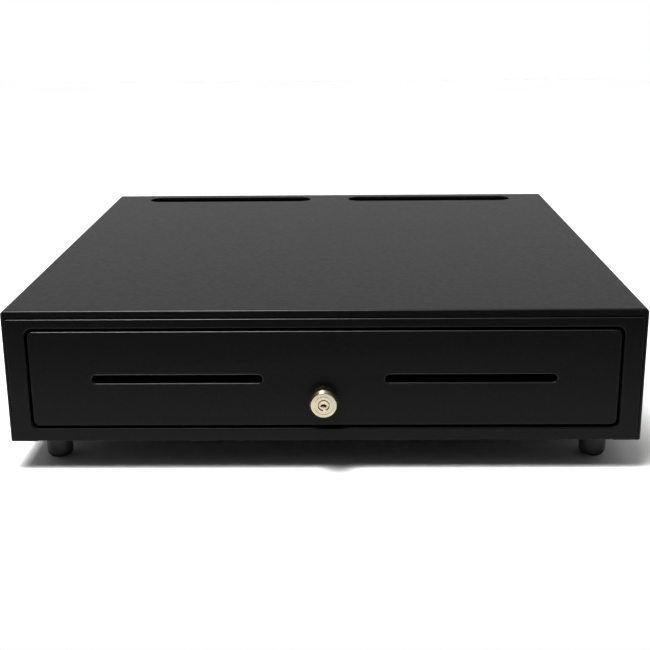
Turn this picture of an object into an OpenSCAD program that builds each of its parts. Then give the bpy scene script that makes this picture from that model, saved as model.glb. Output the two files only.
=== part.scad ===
// Cash drawer: folded sheet-steel case, ball-bearing drawer, lift-out till, key lock and
// solenoid latch. Millimetres, +Z up, the front faces -Y. The origin lies on the floor
// under the middle of the whole object. The drawer is drawn shut, with its latch released.

/* [Case] */
// Width of the case
case_w = 412; // [410:1:414]
// Depth of the case, from front plate to rear edge
case_d = 415; // [413:1:417]
// Height of the case above its feet
case_h = 89.2; // [88.2:0.5:91.2]
// Height of the feet below the case
foot_h = 19.5; // [13.5:0.5:23]
// Largest diameter of a foot
foot_d = 18.6; // [16:0.2:20]
// Thickness of the sheet steel
sheet = 1; // [0.9:0.05:1]
// Outer radius of the bends in the cover
bend_r = 3; // [2.5:0.5:3.5]
// Length of a cable slot in the top
cable_slot_l = 154.2; // [120:0.2:160]
// Width of a cable slot in the top
cable_slot_w = 22; // [16:1:24]

/* [Drawer] */
// Height of the drawer front
front_h = 64.1; // [62:0.1:64.5]
// Gap around the drawer front
front_gap = 1.7; // [1.4:0.1:2]
// How far the drawer runs out
travel = 300; // [280:5:300]
// Length of a paper slot in the drawer front
paper_slot_l = 112; // [90:1:116]
// Height of a paper slot
paper_slot_h = 7.2; // [4:0.2:8]

/* [Lock] */
// Diameter of the lock collar
lock_d = 19; // [17:0.5:20]
// How far the lock stands out of the front
lock_out = 10; // [8:0.5:12]
// Diameter of the key plug
plug_d = 7; // [6:0.5:8]

/* [Latch] */
// Swing of the latch hook
latch_swing = 22; // [20:1:22]
// Radius at which the plunger drives the hook
drive_r = 12; // [12:0.1:12.2]

/* [Hidden] */
$fn = 48;
over = 1;              // how far a cutting solid runs past the faces that it cuts
fit = 0.1;             // radial clearance of a screw in its hole
run = 0.05;            // radial clearance of a turning part on its pin

// Main planes
y_face = -(case_d + lock_out) / 2;
y_front = y_face + lock_out;
y_rear = y_front + case_d;
z_case = foot_h;
z_top = z_case + case_h;
z_mid = z_case + case_h / 2;
x_side = case_w / 2;
y_cover = y_front + sheet;            // front edge of the cover, behind the front plate
z_base = z_case + sheet;              // underside of the base pan
z_floor = z_base + sheet;             // top of the base pan

// Cover, base and rear panel
return_x = 188.5;                     // inner edge of the cover's bottom flanges
side_lip = 2.4;                       // width of the cover's front edge beside the bezel
top_lip = 5.2;                        // height of the cover's turned-down front edge
low_bend_r = 1.3;                      // outer radius of the cover's bottom bends
lip_inset = 0.2;                      // how far that edge is set in from the cover's faces
y_back = y_rear - 3;                  // outer face of the rear panel
y_back_in = y_back - sheet;
foot_x = 181;
foot_inset = 28.3;
foot_y = [y_front + foot_inset, y_rear - foot_inset];
foot_hole = 1.7;
foot_recess_r = 4.2;                  // recess in a foot for its screw head
foot_recess_h = 7;
cable_slot_x = 95.1;
cable_slot_y = y_rear - 11 - cable_slot_w / 2;

// Screws that hold the base: through the cover flanges, the bezel and the rear panel
flange_screws = [for (x = [-196, 196], y = [-140, 0, 140]) [x, y]];
bezel_screws = [for (x = [-120, 0, 120]) [x, y_front + 9]];
rear_screws = [for (x = [-160, -124, 124, 160]) [x, y_back - 8]];
screw_r = 1.5;

// Bezel
bezel_w = case_w - 2 * side_lip - 0.6;
bezel_top = z_top - top_lip - 0.3;
opening_w = 382.6;
z_front = z_case + 43.55;             // middle of the drawer front
opening_h = front_h + 2 * front_gap + 0.4;
bezel_return = 10.5;

// Drawer
front_w = opening_w - 2 * front_gap;
front_r = 4;
front_return = 11;
pan_x = 178.5;
pan_z = 32.3;
pan_top = 88;
pan_y = 170;                          // rear face of the drawer pan
paper_slot_x = 94.7;
paper_slot_z = z_case + 43.35;

// Slides: u runs from the drawer side to the case, v up from the slide centre
slide_z = 58;
slide_u = 12.5;
web_t = 1.2;
inner_v = 11.5;
outer_v = 16.8;
ball_r = 2;
ball_u = 5.3;
ball_v = (inner_v + outer_v - web_t) / 2;
cage_t = 0.8;
balls = 6;
ball_pitch = 11.6;
outer_y = [-188, 192];
inner_y = [-190, 188];
cage_l = inner_y[1] - outer_y[0] - travel - 4;    // stays between both rails at full travel
rail_screw_y = [-150, 60, 165];
bracket_y = [-188.3, 195.3];
bracket_top = 78;

// Till, coin tray and note clips
till_x = 174;
till_y = [-168, 162];
till_z = 51;
till_floor = 53;
till_top = 92;
till_t = 2;
divider_t = 1.5;
columns = 5;                          // note compartments, coin cups and note clips
coin_y = [-165.6, -34];
note_y = [-30, 160];
column_pitch = (2 * (till_x - till_t) + divider_t) / columns;
column_x = [for (i = [0:columns - 1]) (i - (columns - 1) / 2) * column_pitch];
divider_x = [for (i = [0:columns - 2]) (i - (columns - 2) / 2) * column_pitch];
cup_r = 78;
rod_r = 2;
rod_y = 148;
rod_z = 86;
clip_l = 78;
clip_tip_r = 3;
clip_rest = 0.3;                      // gap between a resting pad and the till floor
clip_drop = asin((rod_z - till_floor - clip_tip_r - clip_rest) / clip_l);

// Lock
lock_z = z_case + 29;
barrel_r = 8;
barrel_end = y_front + 18;
plug_r = plug_d / 2;
cam_y = [-180, -177.5];
cam_l = 21;
rod_d = 4;
crank_y = [190.8, 193.3];
crank_l = 14;

// Latch
pivot = [-42, 202.5];
latch_x = [pivot[0] - 56, pivot[0] + 10];         // sides of the latch plate
latch_screw_at = [for (x = [latch_x[0] - 5, latch_x[1] + 5], y = [180, 200]) [x, y]];
hook_z = [46, 49];
hub_r = 5;
pin_r = 2.5;
striker = [pivot[0] + 12, pivot[1] - 19];
roller_r = 4;
striker_pin_r = 2;
deck_z = 35.5;                        // top of the latch plate
drive_z = (hook_z[0] + hook_z[1]) / 2;
drive_y = pivot[1] - drive_r;
drive_x = pivot[0] - drive_r * tan(latch_swing / 2);
plunger_r = 4;
drive_pin_r = 1.2;
coil_x = [pivot[0] - 50.5, pivot[0] - 20.5];
lever_pivot = [pivot[0] - 9.5, pivot[1] - 29];
lever_l = 25;
lever_lean = 5.7;
spring_x = 105;
spring_z = 60;

// Socket and board
board_x = [30, 84];
board_y = [176, 205];
board_z = 30;
socket_x = 57;
socket_w = 14;
socket_h = 13;
notch_x = 140;

black = "#26262a";
steel = "#b9bcc0";
zinc = "#a8a48c";
brass = "#c9a24b";

// ---- Shared shapes ----

module slab(low, high) {
    translate(low) cube(high - low);
}

module both() {
    children();
    mirror([1, 0, 0]) children();
}

// A drawing in X and Z, carried from y0 to y1
module along_y(y0, y1) {
    translate([0, y1, 0]) rotate([90, 0, 0]) linear_extrude(y1 - y0) children();
}

// A drawing in Y and Z, carried from x0 to x1
module along_x(x0, x1) {
    translate([x0, 0, 0]) rotate([90, 0, 90]) linear_extrude(x1 - x0) children();
}

module round_rect(w, h, r) {
    square([w - 2 * r, h], center = true);
    square([w, h - 2 * r], center = true);
    for (x = [-1, 1], y = [-1, 1]) translate([x * (w / 2 - r), y * (h / 2 - r)]) circle(r);
}

module stadium(l, w) {
    square([l - w, w], center = true);
    for (x = [-1, 1]) translate([x * (l - w) / 2, 0]) circle(w / 2);
}

module post(x, y, z0, z1, r) {
    translate([x, y, z0]) cylinder(r = r, h = z1 - z0);
}

module rod_along_x(x0, x1, y, z, r) {
    translate([x0, y, z]) rotate([0, 90, 0]) cylinder(r = r, h = x1 - x0);
}

module rod_along_y(x, y0, y1, z, r) {
    translate([x, y0, z]) rotate([-90, 0, 0]) cylinder(r = r, h = y1 - y0);
}

// Pan-head screw: the head's underside at 0, the shank along +Z
module screw(shank, length, head, head_h) {
    difference() {
        union() {
            cylinder(r = shank, h = length);
            translate([0, 0, -head_h]) cylinder(r = head, h = head_h);
        }
        for (turn = [0, 90]) rotate([0, 0, turn])
            translate([-head * 0.55, -0.35, -head_h - over]) cube([head * 1.1, 0.7, over + head_h * 0.5]);
    }
}

function ring(centre, across, up, r, sides) =
    [for (s = [0:sides - 1]) centre + r * (cos(360 * s / sides) * across + sin(360 * s / sides) * up)];

module skin(rings, sides) {
    last = len(rings) - 1;
    polyhedron(
        points = [for (one = rings) for (p = one) p],
        faces = concat(
            [[for (s = [0:sides - 1]) s]],
            [for (i = [0:last - 1], s = [0:sides - 1])
                [i * sides + s, (i + 1) * sides + s,
                 (i + 1) * sides + (s + 1) % sides, i * sides + (s + 1) % sides]],
            [[for (s = [sides - 1:-1:0]) last * sides + s]]));
}

// Coil spring along +Z, mean radius r
module coil(r, wire, length, turns, sides = 6, steps = 12) {
    total = turns * steps;
    skin([for (i = [0:total])
        let (a = 360 * i / steps, out = [cos(a), sin(a), 0])
        ring([r * out[0], r * out[1], wire + (length - 2 * wire) * i / total], out, [0, 0, 1],
             wire, sides)], sides);
}

function unit(v) = v / norm(v);

// Wire along a list of points, each ring square to the route, which never runs straight up
module wire(route, r, sides = 8) {
    last = len(route) - 1;
    skin([for (i = [0:last])
        let (way = unit(route[min(i + 1, last)] - route[max(i - 1, 0)]),
             across = unit(cross(way, [0, 0, 1])))
        ring(route[i], across, cross(across, way), r, sides)], sides);
}

// ---- Case ----

module case_outline(inset = 0) {
    translate([0, z_mid]) round_rect(case_w - 2 * inset, case_h - 2 * inset, bend_r - inset);
    translate([0, z_case + 10 + inset / 2])
        round_rect(case_w - 2 * inset, 20 - inset, max(low_bend_r - inset, 0.1));
}

module case_cover() {
    color(black) difference() {
        union() {
            along_y(y_cover, y_rear) difference() {
                case_outline();
                case_outline(sheet);
                translate([-return_x, z_case - over]) square([2 * return_x, over + 1.5 * sheet]);
            }
            along_y(y_cover, y_cover + sheet) difference() {
                case_outline(lip_inset);
                translate([side_lip - x_side, z_case - over])
                    square([case_w - 2 * side_lip, case_h + over - top_lip]);
            }
        }
        for (x = [-1, 1]) translate([x * cable_slot_x, cable_slot_y, z_top - sheet - over])
            linear_extrude(sheet + 2 * over) stadium(cable_slot_l, cable_slot_w);
        for (x = [-foot_x, foot_x], y = foot_y)
            post(x, y, z_case - over, z_base + 0.5, foot_d / 2 + 0.6);
        for (p = flange_screws) post(p[0], p[1], z_case - over, z_base + 0.5, screw_r + fit);
    }
}

module base_pan() {
    color(black) difference() {
        union() {
            slab([-201.8, y_front + 1.1, z_base], [201.8, y_back, z_floor]);
            for (x = [-foot_x, foot_x], y = foot_y) post(x, y, z_floor, z_floor + 2, 3.4);
            for (p = flange_screws) post(p[0], p[1], z_floor, z_floor + 1, 3);
            for (x = [board_x[0] + 5, board_x[1] - 5], y = [board_y[0] + 5, board_y[1] - 5])
                post(x, y, z_floor, board_z - 1, 3);
            for (x = [-90, 0, 90]) slab([x - 4, -150, z_floor], [x + 4, 150, z_floor + 1.5]);
        }
        for (x = [-foot_x, foot_x], y = foot_y) post(x, y, z_base - over, z_floor + 3, foot_hole);
        for (p = concat(flange_screws, bezel_screws, rear_screws, latch_screw_at))
            post(p[0], p[1], z_base - over, z_floor + 3, screw_r + fit);
        for (x = [-90, 0, 90]) slab([x - 3, -149, z_base - over], [x + 3, 149, z_floor + 0.5]);
    }
}

module rear_panel() {
    low = z_floor;
    high = z_top - sheet - 0.3;
    side = x_side - sheet - 0.2;
    color(black) difference() {
        union() {
            along_y(y_back_in, y_back) difference() {
                case_outline(sheet + 0.3);
                translate([-x_side, 0]) square([case_w, low]);
            }
            for (x = [[-198, latch_x[0] - 11], [board_x[1] + 2, 198]])
                slab([x[0], y_back - 14, low], [x[1], y_back_in, low + sheet]);
            slab([-196, y_back - 8, high - sheet], [196, y_back_in, high]);
            for (x = [-side, side - sheet])
                slab([x, y_back - 12, z_case + 12], [x + sheet, y_back_in, z_top - 12]);
        }
        slab([socket_x - socket_w / 2 - 0.2, y_back_in - over, board_z + 1.4],
             [socket_x + socket_w / 2 + 0.2, y_back + over, board_z + 1.8 + socket_h]);
        for (x = [-notch_x, notch_x]) translate([0, 0, 72])
            along_y(y_back_in - over, y_back + over) translate([x, 0]) stadium(44, 20);
        for (x = [-5:5]) along_y(y_back_in - over, y_back + over)
            translate([x * 12, 84]) rotate(90) stadium(18, 4);
        for (p = rear_screws) post(p[0], p[1], low - over, low + 2, screw_r + fit);
    }
}

module front_bezel() {
    low = z_base;
    color(black) difference() {
        union() {
            along_y(y_front, y_front + sheet)
                translate([0, (low + bezel_top) / 2]) round_rect(bezel_w, bezel_top - low, 0.6);
            along_y(y_front + sheet / 2, y_front + bezel_return)
                translate([0, z_front]) round_rect(opening_w + 2 * sheet, opening_h + 2 * sheet, 6.5);
            slab([-198, y_front + sheet / 2, z_floor], [198, y_front + 14, z_floor + sheet]);
            for (x = [-bezel_w / 2, bezel_w / 2 - sheet])
                slab([x, y_front + sheet / 2, z_case + 6], [x + sheet, y_front + 12, bezel_top - 6]);
            slab([-196, y_front + sheet / 2, bezel_top - sheet], [196, y_front + 12, bezel_top]);
        }
        along_y(y_front - over, y_front + bezel_return + over)
            translate([0, z_front]) round_rect(opening_w, opening_h, 5.5);
        for (p = bezel_screws) post(p[0], p[1], z_floor - over, z_floor + 2, screw_r + fit);
    }
}

module rubber_feet() {
    high = z_base;
    r = foot_d / 2;
    color("#1b1b1d") for (x = [-foot_x, foot_x], y = foot_y) translate([x, y, 0])
        rotate_extrude() difference() {
            union() {
                polygon([[0, 0], [r - 2, 0], [r - 0.6, 1.4], [r, high - 3], [r, high], [0, high]]);
                translate([r - 2, 1.4]) circle(1.4);
            }
            square([2 * foot_recess_r, 2 * foot_recess_h], center = true);
            square([foot_hole, high * 2 + over], center = false);
            translate([-r, -over]) square([r, high + 2 * over]);
        }
}

module foot_screws() {
    color(steel) for (x = [-foot_x, foot_x], y = foot_y)
        translate([x, y, foot_recess_h]) screw(screw_r, z_floor - foot_recess_h + 5, 3.6, 2.2);
}

module case_screws() {
    color(black) {
        for (p = flange_screws) translate([p[0], p[1], z_case]) screw(screw_r, 5, 3, 1.8);
        for (p = concat(bezel_screws, rear_screws))
            translate([p[0], p[1], z_base]) screw(screw_r, 5, 3, 1.6);
    }
}

module rail_brackets() {
    inner = pan_x + slide_u;
    color(steel) both() difference() {
        along_y(bracket_y[0], bracket_y[1]) {
            translate([inner, z_floor]) square([web_t, bracket_top - z_floor]);
            translate([inner, z_floor]) square([12, web_t]);
            translate([inner, bracket_top - web_t]) square([x_side - sheet - 0.2 - inner, web_t]);
        }
        for (y = rail_screw_y)
            rod_along_x(inner - over, inner + web_t + over, y, slide_z, screw_r + fit);
        for (p = flange_screws) post(abs(p[0]), p[1], z_floor - over, z_floor + 3, 3.2);
    }
}

module rail_screws() {
    inner = pan_x + slide_u;
    color(steel) both() for (y = rail_screw_y) translate([inner - web_t, y, slide_z])
        rotate([0, 90, 0]) screw(screw_r, 4.5, 3.2, 0.7);
}

// Fixed rail of a ball-bearing slide, drawn for the right-hand side
module outer_rail() {
    difference() {
        translate([pan_x, 0, slide_z]) {
            along_y(outer_y[0], outer_y[1]) {
                translate([slide_u - web_t, -outer_v]) square([web_t, 2 * outer_v]);
                for (v = [-outer_v, outer_v - web_t])
                    translate([1.7, v]) square([slide_u - 1.7, web_t]);
                for (v = [-outer_v + web_t / 2, outer_v - web_t / 2 - 1.4])
                    translate([1.7, v]) square([web_t, 1.4]);
            }
            slab([2.4, outer_y[1] - 1, -6], [slide_u - web_t / 2, outer_y[1], 6]);
        }
        for (y = rail_screw_y)
            rod_along_x(pan_x + slide_u - web_t - over, pan_x + slide_u + over, y, slide_z, screw_r + fit);
    }
}

module outer_rail_right() { color(zinc) outer_rail(); }

module outer_rail_left() { color(zinc) mirror([1, 0, 0]) outer_rail(); }

module drawer_bumpers() {
    color("#2c2c2e") both() translate([pan_x, 0, slide_z])
        slab([3, outer_y[1] - 3.4, -5], [slide_u - web_t - 0.4, outer_y[1] - 1, 5]);
}

module lock_catch() {
    color(steel) {
        slab([-12, -184, z_floor], [12, -182, pan_z - 1.6]);
        difference() {
            slab([-12, -182, z_floor], [12, -168, z_floor + 1.5]);
            slab([-4, -180, z_floor - over], [4, -170, z_floor + 3]);
        }
    }
}

// ---- Latch, springs and board in the rear space ----

module latch_plate() {
    low = latch_x[0];
    high = latch_x[1];
    color(steel) difference() {
        union() {
            slab([low, 173.5, deck_z - 1.5], [high, 207, deck_z]);
            slab([low, 173.5, z_floor], [low + 1.5, 207, deck_z]);
            slab([high - 1.5, 173.5, z_floor], [high, 207, deck_z]);
            slab([low - 10, 173.5, z_floor], [low + 0.5, 207, z_floor + 1.5]);
            slab([high - 0.5, 173.5, z_floor], [high + 10, 207, z_floor + 1.5]);
        }
        post(pivot[0], pivot[1], deck_z - 3, deck_z + over, pin_r);
        post(-56.7, 180.2, deck_z - 3, deck_z + over, 2.4);
        slab([low - over, 187, z_floor + 1.6], [high + over, 207 + over, z_floor + 7]);
        for (p = latch_screw_at) post(p[0], p[1], z_floor - over, z_floor + 3, screw_r + fit);
    }
}

module latch_pivot_pin() {
    color(steel) {
        post(pivot[0], pivot[1], deck_z - 2.4, 52.4, pin_r);
        post(pivot[0], pivot[1], deck_z, 43.9, 3.2);
        post(pivot[0], pivot[1], 51.1, 52.4, 4.4);
    }
}

module latch_screws() {
    color(steel) for (p = latch_screw_at)
        translate([p[0], p[1], z_floor + 1.5]) mirror([0, 0, 1]) screw(screw_r, 3.2, 2.8, 1.6);
}

module latch_return_spring() {
    color(steel) translate([pivot[0], pivot[1], deck_z + 0.2]) coil(4.2, 0.4, 7.8, 7);
}

module solenoid_frame() {
    low = drive_z - 12;
    color(zinc) difference() {
        slab([coil_x[0], drive_y - 11, low], [coil_x[1], drive_y + 11, drive_z + 12]);
        slab([coil_x[0] + 2, drive_y - 11 - over, low + 1.5],
             [coil_x[1] - 2, drive_y + 11 + over, drive_z + 10.5]);
        rod_along_x(coil_x[0] - over, coil_x[1] + over, drive_y, drive_z, plunger_r + 0.15);
    }
}

module solenoid_coil() {
    color("#7a3b22") difference() {
        rod_along_x(coil_x[0] + 2.1, coil_x[1] - 2.1, drive_y, drive_z, 10.2);
        rod_along_x(coil_x[0] + over, coil_x[1] - over, drive_y, drive_z, plunger_r + 0.15);
    }
}

module switch_body() {
    color("#303034") difference() {
        slab([pivot[0] - 20, pivot[1] - 30, deck_z], [pivot[0] - 10.2, pivot[1] - 10, 42]);
        for (y = [-25.5, -14.5]) post(pivot[0] - 15, pivot[1] + y, deck_z - over, 43, 1.1);
    }
}

module spring_posts() {
    color(steel) both() {
        rod_along_y(spring_x, 186, y_back_in, spring_z, 3);
        rod_along_y(spring_x, y_back_in - 1.5, y_back_in, spring_z, 8);
    }
}

module eject_spring() {
    translate([spring_x, pan_y + 0.3, spring_z]) rotate([-90, 0, 0])
        coil(5, 0.7, y_back_in - 1.8 - pan_y, 9);
}

module eject_spring_right() { color(steel) eject_spring(); }

module eject_spring_left() { color(steel) mirror([1, 0, 0]) eject_spring(); }

module circuit_board() {
    color("#1d5a3a") difference() {
        slab([board_x[0], board_y[0], board_z - 1], [board_x[1], board_y[1], board_z + 0.6]);
        for (x = [board_x[0] + 5, board_x[1] - 5], y = [board_y[0] + 5, board_y[1] - 5])
            post(x, y, board_z - 2, board_z + 2, 1.2);
    }
    color("#2b2b2e") {
        slab([board_x[0] + 2, 183, board_z + 0.6], [board_x[0] + 10, 198, board_z + 8]);
        slab([board_x[1] - 16, 184, board_z + 0.6], [board_x[1] - 6, 194, board_z + 3]);
    }
}

module drawer_socket() {
    low = board_z + 0.6;
    color("#202022") difference() {
        slab([socket_x - socket_w / 2, 191, low + 1], [socket_x + socket_w / 2, y_back, low + 1 + socket_h]);
        slab([socket_x - 5, 195, low + 3], [socket_x + 5, y_back + over, low + 10]);
        slab([socket_x - 3, 195, low + 9], [socket_x + 3, y_back + over, low + 12]);
    }
}

module socket_contacts() {
    color(brass) for (i = [-2.5:2.5]) translate([socket_x + i * 1.27, 0, board_z])
        along_x(-0.25, 0.25) polygon([[195.1, 4], [205, 4], [205, 4.5], [199, 6.6], [195.1, 6.6]]);
}

module wire_harness() {
    color("#8a2a22") wire([
        [31.8, 195.5, 34], [28, 195.5, 34], [24, 196.5, 31], [20, 198.5, 28], [14, 201, 26],
        [4, 203, 25.5], [-8, 204, 25.5], [-24, 205, 25.5], [-60, 205, 25.5], [-92, 205, 25.5],
        [-104, 205.5, 27.5], [-110, 200, 31], [-108, 194, 36], [-104, 190.5, 41], [-99, 190.5, 45],
        [-94.7, 190.5, 45]], 1.6);
    color("#2a2a2c") wire([
        [31.8, 187, 34], [27, 187, 34], [22, 188, 30.5], [16, 190, 27.4], [8, 191.5, 25.9],
        [-4, 192, 25.5], [-20, 192, 25.5], [-40, 189, 25.5], [-49, 185, 26.6], [-54, 182, 29.5],
        [-57, 180, 34.5]], 1.4);
}

// ---- Drawer ----

module paper_slots(y0, y1) {
    for (x = [-paper_slot_x, paper_slot_x]) along_y(y0, y1)
        translate([x, paper_slot_z]) stadium(paper_slot_l, paper_slot_h);
}

module drawer_front() {
    color(black) difference() {
        along_y(y_front, y_front + front_return)
            translate([0, z_front]) round_rect(front_w, front_h, front_r);
        along_y(y_front + sheet, y_front + front_return + over)
            translate([0, z_front]) round_rect(front_w - 2 * sheet, front_h - 2 * sheet, front_r - sheet);
        paper_slots(y_front - over, y_front + sheet + over);
        rod_along_y(0, y_front - over, y_front + sheet + over, lock_z, barrel_r + fit);
    }
}

module drawer_pan() {
    front = y_front + sheet;
    color(steel) difference() {
        slab([-pan_x, front, pan_z], [pan_x, pan_y, pan_top]);
        slab([-pan_x + sheet, front + sheet, pan_z + sheet], [pan_x - sheet, pan_y - sheet, pan_top + over]);
        paper_slots(front - over, front + sheet + over);
        rod_along_y(0, front - over, front + sheet + over, lock_z, barrel_r + fit);
        rod_along_y(0, pan_y - 2, pan_y + over, lock_z, 4 + fit);
        slab([-5.5, -182, pan_z - over], [16.5, -175.5, pan_z + sheet + 0.5]);
        for (x = [-1, 1], y = rail_screw_y)
            rod_along_x(x * pan_x - 2, x * pan_x + 2, y, slide_z, screw_r + fit);
        for (x = [-10, 10]) rod_along_y(striker[0] + x, pan_y - 2, pan_y + over, 56.5, screw_r + fit);
        for (x = [-165, 165], z = [44, 80])
            rod_along_y(x, front - over, front + sheet + over, z, screw_r + fit);
    }
}

// Sliding rail, drawn for the right-hand side
module inner_rail() {
    difference() {
        translate([pan_x, 0, slide_z]) along_y(inner_y[0], inner_y[1]) {
            translate([0, -inner_v]) square([web_t, 2 * inner_v]);
            for (v = [-inner_v, inner_v - web_t]) translate([0, v]) square([9, web_t]);
        }
        for (y = rail_screw_y)
            rod_along_x(pan_x - over, pan_x + web_t + over, y, slide_z, screw_r + fit);
    }
}

module inner_rail_right() { color(zinc) inner_rail(); }

module inner_rail_left() { color(zinc) mirror([1, 0, 0]) inner_rail(); }

module drawer_screws() {
    color(steel) {
        both() for (y = rail_screw_y) translate([pan_x - sheet, y, slide_z])
            rotate([0, 90, 0]) screw(screw_r, 4.2, 2.9, 1.6);
        for (x = [-10, 10]) translate([striker[0] + x, pan_y - sheet, 56.5])
            rotate([-90, 0, 0]) screw(screw_r, 3.4, 2.8, 1.6);
        for (x = [-165, 165], z = [44, 80]) translate([x, y_front + 2 * sheet, z])
            rotate([90, 0, 0]) screw(screw_r, 0.95, 2.8, 1.6);
    }
}

module striker_bracket() {
    face = pan_y + 1.2;
    color(steel) difference() {
        union() {
            slab([striker[0] - 14, pan_y, 38], [striker[0] + 14, face, 60]);
            for (z = [42, 52]) {
                slab([striker[0] - 6, face - 0.2, z], [striker[0] + 6, striker[1], z + 1.2]);
                post(striker[0], striker[1], z, z + 1.2, 6);
            }
        }
        post(striker[0], striker[1], 40, 56, striker_pin_r);
        for (x = [-10, 10]) rod_along_y(striker[0] + x, pan_y - over, face + over, 56.5, screw_r + fit);
    }
}

module striker_pin() {
    color(steel) {
        post(striker[0], striker[1], 41, 54.2, striker_pin_r);
        post(striker[0], striker[1], 53.2, 54.4, 3);
        post(striker[0], striker[1], 40.8, 42, 3);
    }
}

module striker_roller() {
    color(zinc) difference() {
        post(striker[0], striker[1], 43.5, 51.7, roller_r);
        post(striker[0], striker[1], 43, 53, striker_pin_r + run);
    }
}

// ---- Lock ----

module lock_barrel() {
    r = lock_d / 2;
    color("#cfcabb") translate([0, 0, lock_z]) rotate([-90, 0, 0]) rotate_extrude() polygon([
        [plug_r + run, y_face], [r - 1.7, y_face], [r, y_face + 2.5], [r, y_front],
        [barrel_r, y_front], [barrel_r, barrel_end], [plug_r + run, barrel_end]]);
}

module lock_nut() {
    low = y_front + 2 * sheet;
    color(steel) difference() {
        translate([0, low + 4, lock_z]) rotate([90, 0, 0]) cylinder(r = 12.4, h = 4, $fn = 6);
        rod_along_y(0, low - over, low + 5, lock_z, barrel_r + run);
    }
}

module lock_plug() {
    color("#d9d4c6") difference() {
        union() {
            rod_along_y(0, y_face + 0.4, cam_y[0] - 0.3, lock_z, plug_r);
            slab([-2, cam_y[0] - 1, lock_z - 2], [2, cam_y[1] + 1, lock_z + 2]);
        }
        slab([-1.8, y_face - over, lock_z - 0.8], [1.8, y_face + 16, lock_z + 0.8]);
    }
}

module lock_cam() {
    color(steel) difference() {
        union() {
            rod_along_y(0, cam_y[0], cam_y[1], lock_z, 6);
            along_y(cam_y[0], cam_y[1]) translate([(cam_l - 4) / 2, lock_z]) stadium(cam_l + 4, 8);
        }
        slab([-2.05, cam_y[0] - over, lock_z - 2.05], [2.05, cam_y[1] + over, lock_z + 2.05]);
    }
}

module lock_rod() {
    tip = 2.5;
    color(steel) {
        difference() {
            rod_along_y(0, cam_y[1] + 0.1, cam_y[1] + 8, lock_z, 3.9);
            slab([-2.05, cam_y[1] - over, lock_z - 2.05], [2.05, cam_y[1] + 1.1, lock_z + 2.05]);
        }
        rod_along_y(0, cam_y[1] + 7, crank_y[1], lock_z, rod_d / 2);
        along_y(crank_y[0], crank_y[1]) translate([0, lock_z + crank_l / 2 - tip]) rotate(90)
            stadium(crank_l + 2 * tip, 2 * tip);
    }
}

module rod_bush() {
    color("#e8e4da") difference() {
        union() {
            rod_along_y(0, pan_y - 4, pan_y + 1, lock_z, 4);
            rod_along_y(0, pan_y, pan_y + 1.4, lock_z, 6);
        }
        rod_along_y(0, pan_y - 5, pan_y + 3, lock_z, rod_d / 2 + run);
    }
}

// ---- Till ----

module till_tray() {
    rim = pan_x - 0.4;
    mid = note_y[0];
    color("#1a1a1c") difference() {
        union() {
            slab([-till_x, till_y[0], till_z], [till_x, till_y[1], till_top]);
            slab([-rim, till_y[0], pan_top], [rim, till_y[1], pan_top + 2]);
        }
        slab([till_t - till_x, till_y[0] + till_t, till_floor],
             [till_x - till_t, mid - till_t, till_top + over]);
        slab([till_t - till_x, mid, till_floor], [till_x - till_t, note_y[1], till_top + over]);
        for (x = [-till_x, till_x - till_t])
            rod_along_x(x - over, x + till_t + over, rod_y, rod_z, rod_r + fit);
        for (x = [-2, 2]) translate([x * column_pitch, 0, till_z - over])
            linear_extrude(till_t + 2 * over) translate([0, 60]) stadium(40, 20);
    }
}

module coin_tray() {
    half = till_x - till_t - 0.3;
    middle = (coin_y[0] + coin_y[1]) / 2;
    cup_z = till_floor + 2 + cup_r;
    lid = till_top - 3;
    color("#202023") {
        difference() {
            slab([-half, coin_y[0], till_floor + 0.1], [half, coin_y[1], lid]);
            slab([till_t - half, coin_y[0] + till_t, till_floor],
                 [half - till_t, coin_y[1] - till_t, lid + over]);
        }
        for (x = divider_x) slab([x - 1, coin_y[0] + 1, till_floor + 0.1], [x + 1, coin_y[1] - 1, lid - 2]);
        intersection() {
            difference() {
                rod_along_x(1 - half, half - 1, middle, cup_z, cup_r + 1.8);
                rod_along_x(-half, half, middle, cup_z, cup_r);
            }
            slab([-half, coin_y[0] + 1, till_floor + 0.1], [half, coin_y[1] - 1, lid - 4]);
        }
    }
}

module bill_dividers() {
    color("#1f1f22") for (x = divider_x) difference() {
        slab([x - divider_t / 2, note_y[0] + 0.2, till_floor + 0.1],
             [x + divider_t / 2, note_y[1] - 0.2, till_top - 1]);
        rod_along_x(x - 2, x + 2, rod_y, rod_z, rod_r + fit);
    }
}

module clip_rod() {
    color(steel) rod_along_x(-till_x - 1.2, till_x + 1.2, rod_y, rod_z, rod_r);
}

module clip_springs() {
    color(steel) for (x = column_x) translate([x + 8.4, rod_y, rod_z])
        rotate([0, 90, 0]) coil(3, 0.45, 6, 4);
}

// Note clip: a hub on the rod, a sprung arm and a round pad that holds the notes down
module bill_clip(i) {
    color("#242427") translate([column_x[i], rod_y, rod_z]) rotate([clip_drop, 0, 0]) difference() {
        union() {
            rod_along_x(-8, 8, 0, 0, 4);
            slab([-8, -20, -1.2], [8, 0, 1.2]);
            for (x = [-8, 4.5]) slab([x, -clip_l, -1.2], [x + 3.5, -18, 1.2]);
            rod_along_x(-14, 14, -clip_l, 0, clip_tip_r);
        }
        rod_along_x(-9, 9, 0, 0, rod_r + run);
    }
}

module bill_clip_1() bill_clip(0);
module bill_clip_2() bill_clip(1);
module bill_clip_3() bill_clip(2);
module bill_clip_4() bill_clip(3);
module bill_clip_5() bill_clip(4);

// ---- Ball cages and balls ----

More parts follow.
